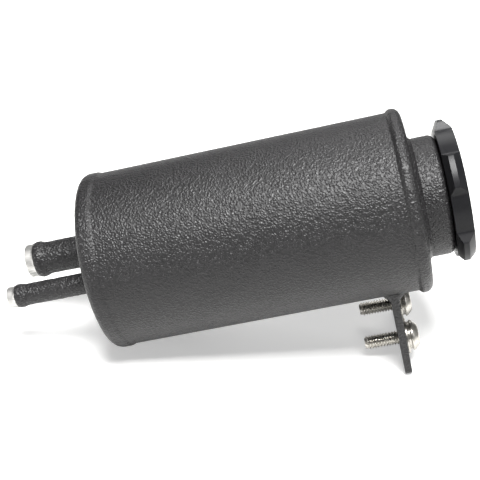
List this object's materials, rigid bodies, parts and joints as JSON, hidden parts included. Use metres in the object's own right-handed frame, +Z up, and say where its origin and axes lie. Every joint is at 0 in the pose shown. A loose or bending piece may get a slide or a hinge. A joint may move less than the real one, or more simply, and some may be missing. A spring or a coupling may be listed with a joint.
{
  "type": "hydraulic reservoir",
  "caption": "Small round welded hydraulic fluid reservoir with a bracket and screws, a lobed screw cap on a filler neck, and beaded hose tubes in its bottom.",
  "frame": {"origin": "middle of the two screws on the underside of the bracket", "axes": "+Z up along the tank's axis towards the filler cap, +X along the line through the two screws, +Y from the tank towards the screws"},
  "size_m": [0.0788, 0.1129, 0.1979],
  "materials": {
    "black_coat": "black wrinkle powder coat",
    "stainless": "plain, lightly tarnished",
    "bare_aluminium": "as machined",
    "black_anodised": "satin black anodised",
    "sintered_bronze": "porous sintered",
    "seal_rubber": "smooth"
  },
  "bodies": {
    "tank": {"tank_tube": "black_coat", "bottom_plate": "black_coat", "top_plate": "black_coat", "bottom_seam_weld": "black_coat", "top_seam_weld": "black_coat", "filler_neck": "black_coat", "neck_weld": "black_coat", "mounting_bracket": "black_coat", "bracket_welds": "black_coat", "feed_tube": "black_coat", "return_tube": "black_coat", "feed_tube_weld": "black_coat", "return_tube_weld": "black_coat", "bracket_screws": "stainless", "bracket_washers": "stainless", "bracket_lock_washers": "stainless", "baffle_plate": "bare_aluminium", "baffle_tacks": "bare_aluminium"},
    "seal": {"cap_seal": "seal_rubber"},
    "cap": {"cap_body": "black_anodised", "cap_vent": "sintered_bronze"}
  },
  "joints": [
    {"name": "cap_lift", "type": "slide", "parent": "tank", "child": "seal", "axis": [0, 0, 1], "range_m": [0, 0.0108]},
    {"name": "cap_turn", "type": "hinge", "parent": "seal", "child": "cap", "pos_m": [0, -0.0611, 0.0303], "axis": [0, 0, 1], "range_deg": [0, 1836]}
  ],
  "couplings": [
    {"joint": "cap_lift", "follows": "cap_turn", "m_per_rad": 0.00033688}
  ]
}
